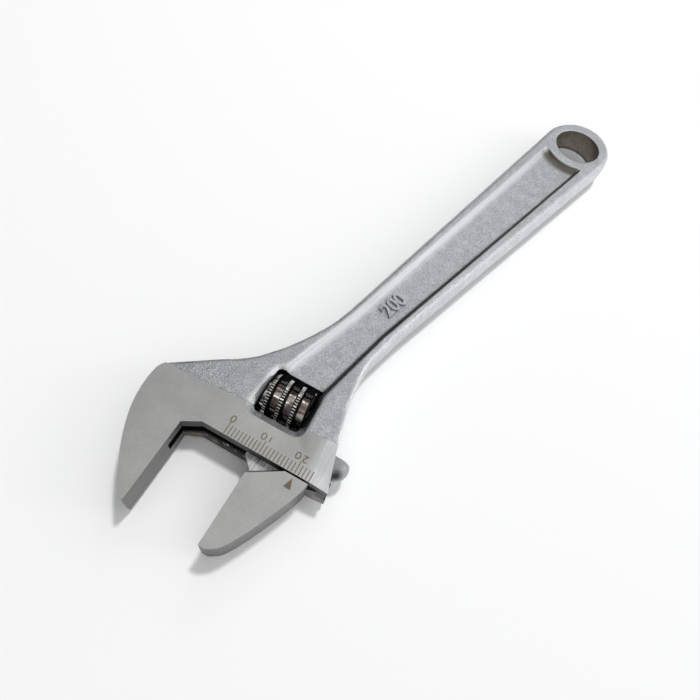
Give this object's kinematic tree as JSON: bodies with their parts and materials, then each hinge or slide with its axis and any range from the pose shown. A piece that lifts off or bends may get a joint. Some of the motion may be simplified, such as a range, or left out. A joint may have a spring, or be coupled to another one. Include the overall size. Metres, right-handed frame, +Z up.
{
  "type": "adjustable wrench",
  "caption": "Open-ended adjustable wrench with a fixed jaw on a forged I-section handle and a sliding jaw driven by a thumb-turned worm.",
  "frame": {"origin": "bottom centre of the bounding box, under the middle of the handle", "axes": "+X is the way the movable jaw slides open, +Y runs from the jaws toward the hanging hole, +Z is up through the flat faces"},
  "size_m": [0.0828, 0.1928, 0.0128],
  "materials": {
    "forged_chrome": "satin chrome plate over a pebbled forging, with flat ground faces at the head",
    "jaw_chrome": "satin chrome plate with flat ground faces",
    "dark_worm": "dark oiled steel with bright worn crests",
    "pin_steel": "turned steel",
    "spring_steel": "drawn spring wire"
  },
  "bodies": {
    "frame": {"body": "forged_chrome", "worm_pin": "pin_steel", "worm_spring": "spring_steel"},
    "jaw": {"movable_jaw": "jaw_chrome"},
    "worm": {"worm": "dark_worm"}
  },
  "joints": [
    {"name": "jaw_slide", "type": "slide", "parent": "frame", "child": "jaw", "axis": [1, 0, 0], "range_m": [-0.0199, 0.004]},
    {"name": "worm_spin", "type": "hinge", "parent": "frame", "child": "worm", "pos_m": [-0.00874, -0.05585, 0.0064], "axis": [1, 0, 0], "range_deg": [-400, 1950]}
  ],
  "couplings": [
    {"joint": "worm_spin", "follows": "jaw_slide", "rad_per_m": -1698.2}
  ]
}
